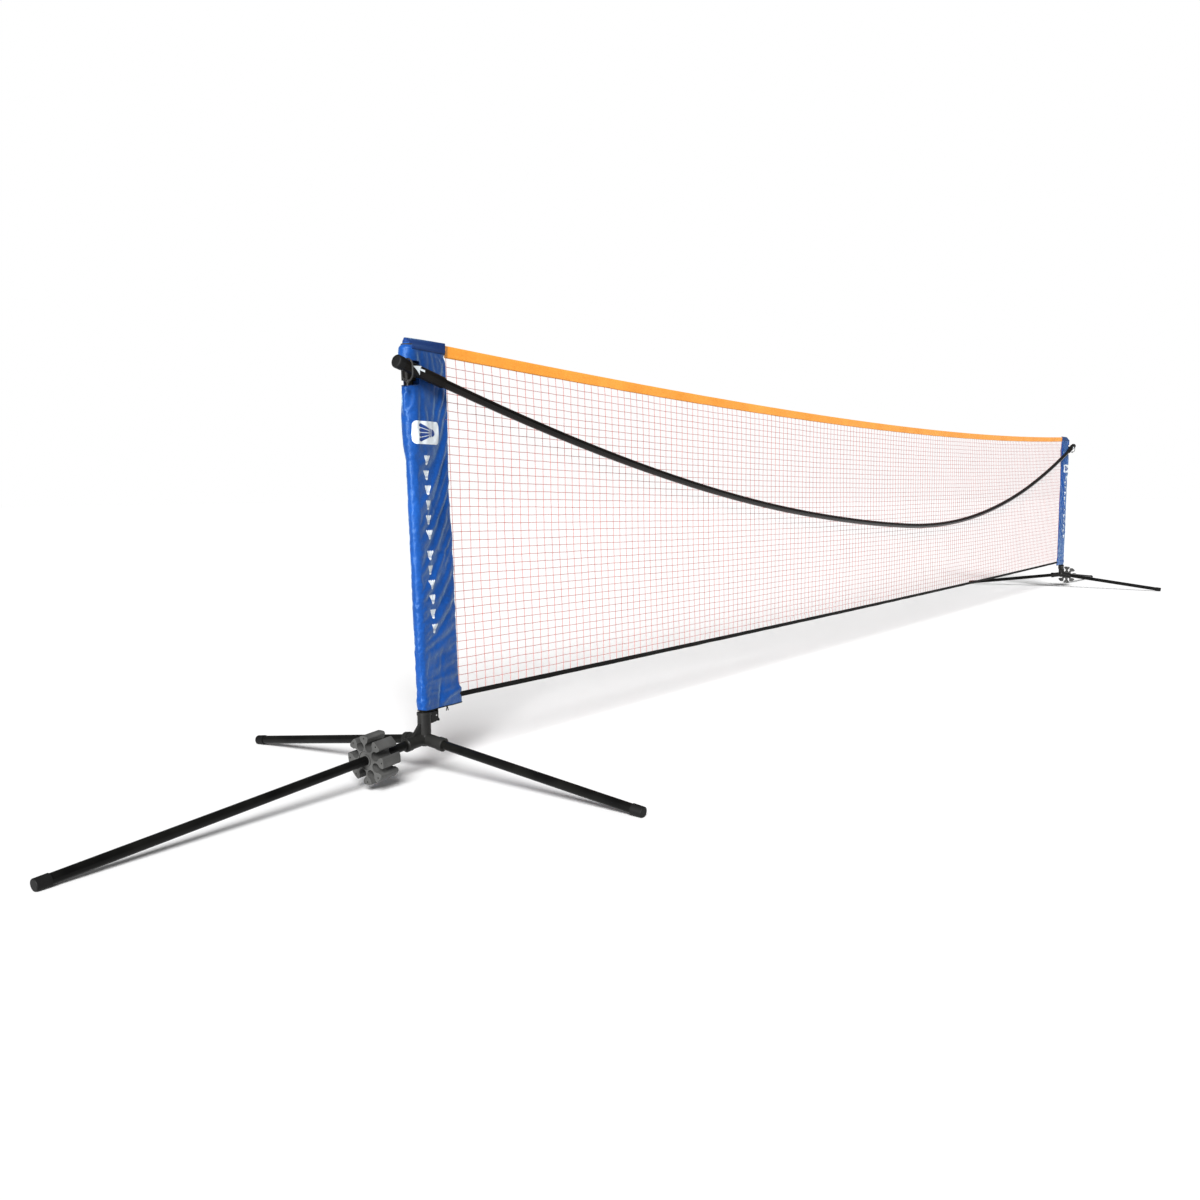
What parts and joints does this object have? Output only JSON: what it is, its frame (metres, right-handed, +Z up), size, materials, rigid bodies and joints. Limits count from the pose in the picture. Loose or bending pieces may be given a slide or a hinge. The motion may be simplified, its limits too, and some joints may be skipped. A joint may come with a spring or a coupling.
{
  "type": "portable badminton net",
  "caption": "Free-standing badminton net: fabric-sleeved posts on three-legged bases, kept tight by a flexible rod bowed between the posts.",
  "frame": {"origin": "on the floor, midway between the two posts", "axes": "+X along the net towards the right base, +Y towards the back, +Z up; the rod is on the -Y side"},
  "size_m": [6.789, 1.0484, 0.86],
  "materials": {
    "tube_black": "gloss",
    "hub_plastic": "satin",
    "holder_plastic": "satin",
    "cap_rubber": "matte",
    "pin_steel": "satin",
    "clip_grey": "satin",
    "rod_black": "gloss",
    "cord_black": "matte",
    "sleeve_blue": "satin",
    "tape_orange": "matte",
    "tape_black": "matte",
    "net_red": "matte"
  },
  "bodies": {
    "left_base": {"left_base_hub": "hub_plastic", "left_lever_pin": "pin_steel"},
    "right_base": {"right_base_hub": "hub_plastic", "right_lever_pin": "pin_steel"},
    "net_assembly": {"left_post": "tube_black", "left_post_cap": "hub_plastic", "left_rod_holder": "holder_plastic", "left_rod_end_cap": "cap_rubber", "left_keeper_loop": "cord_black", "left_sleeve": "sleeve_blue", "right_post": "tube_black", "right_post_cap": "hub_plastic", "right_rod_holder": "holder_plastic", "right_rod_end_cap": "cap_rubber", "right_keeper_loop": "cord_black", "right_sleeve": "sleeve_blue", "rod_section_1": "rod_black", "rod_section_2": "rod_black", "rod_section_3": "rod_black", "rod_section_4": "rod_black", "rod_section_5": "rod_black", "rod_section_6": "rod_black", "rod_spigot_1": "pin_steel", "rod_spigot_2": "pin_steel", "rod_spigot_3": "pin_steel", "rod_spigot_4": "pin_steel", "rod_spigot_5": "pin_steel", "rod_shock_cord": "cord_black", "net_mesh": "net_red", "top_tape": "tape_orange", "bottom_tape": "tape_black", "top_cord": "cord_black", "bottom_cord": "cord_black"},
    "left_front_leg": {"left_front_leg": "tube_black", "left_front_leg_cap": "cap_rubber"},
    "left_back_leg": {"left_back_leg": "tube_black", "left_back_leg_cap": "cap_rubber"},
    "left_outer_leg": {"left_outer_leg": "tube_black", "left_outer_leg_cap": "cap_rubber"},
    "left_storage_clip": {"left_storage_clip": "clip_grey"},
    "left_release_lever": {"left_release_lever": "hub_plastic"},
    "right_front_leg": {"right_front_leg": "tube_black", "right_front_leg_cap": "cap_rubber"},
    "right_back_leg": {"right_back_leg": "tube_black", "right_back_leg_cap": "cap_rubber"},
    "right_outer_leg": {"right_outer_leg": "tube_black", "right_outer_leg_cap": "cap_rubber"},
    "right_storage_clip": {"right_storage_clip": "clip_grey"},
    "right_release_lever": {"right_release_lever": "hub_plastic"}
  },
  "joints": [
    {"name": "net_lift", "type": "slide", "parent": "left_base", "child": "net_assembly", "axis": [0, 0, 1], "range_m": [0, 0.045]},
    {"name": "right_base_drop", "type": "slide", "parent": "net_assembly", "child": "right_base", "axis": [0, 0, -1], "range_m": [0, 0.045]},
    {"name": "left_front_leg_pull", "type": "slide", "parent": "left_base", "child": "left_front_leg", "axis": [0, -0.9919, -0.1269], "range_m": [0, 0.05]},
    {"name": "left_back_leg_pull", "type": "slide", "parent": "left_base", "child": "left_back_leg", "axis": [0, 0.9919, -0.1269], "range_m": [0, 0.05]},
    {"name": "left_outer_leg_pull", "type": "slide", "parent": "left_base", "child": "left_outer_leg", "axis": [-0.9965, 0, -0.0839], "range_m": [0, 0.05]},
    {"name": "left_clip_slide", "type": "slide", "parent": "left_outer_leg", "child": "left_storage_clip", "axis": [-0.9965, 0, -0.0839], "range_m": [-0.056, 0.16]},
    {"name": "left_lever_squeeze", "type": "hinge", "parent": "left_base", "child": "left_release_lever", "pos_m": [-2.574, 0, 0.12], "axis": [0, 1, 0], "range_deg": [0, 8], "stiffness_Nm_per_rad": 0.3},
    {"name": "right_front_leg_pull", "type": "slide", "parent": "right_base", "child": "right_front_leg", "axis": [0, -0.9919, -0.1269], "range_m": [0, 0.05]},
    {"name": "right_back_leg_pull", "type": "slide", "parent": "right_base", "child": "right_back_leg", "axis": [0, 0.9919, -0.1269], "range_m": [0, 0.05]},
    {"name": "right_outer_leg_pull", "type": "slide", "parent": "right_base", "child": "right_outer_leg", "axis": [0.9965, 0, -0.0839], "range_m": [0, 0.05]},
    {"name": "right_clip_slide", "type": "slide", "parent": "right_outer_leg", "child": "right_storage_clip", "axis": [0.9965, 0, -0.0839], "range_m": [-0.056, 0.16]},
    {"name": "right_lever_squeeze", "type": "hinge", "parent": "right_base", "child": "right_release_lever", "pos_m": [2.574, 0, 0.12], "axis": [0, -1, 0], "range_deg": [0, 8], "stiffness_Nm_per_rad": 0.3}
  ],
  "couplings": [
    {"joint": "right_base_drop", "follows": "net_lift", "ratio": 1}
  ]
}
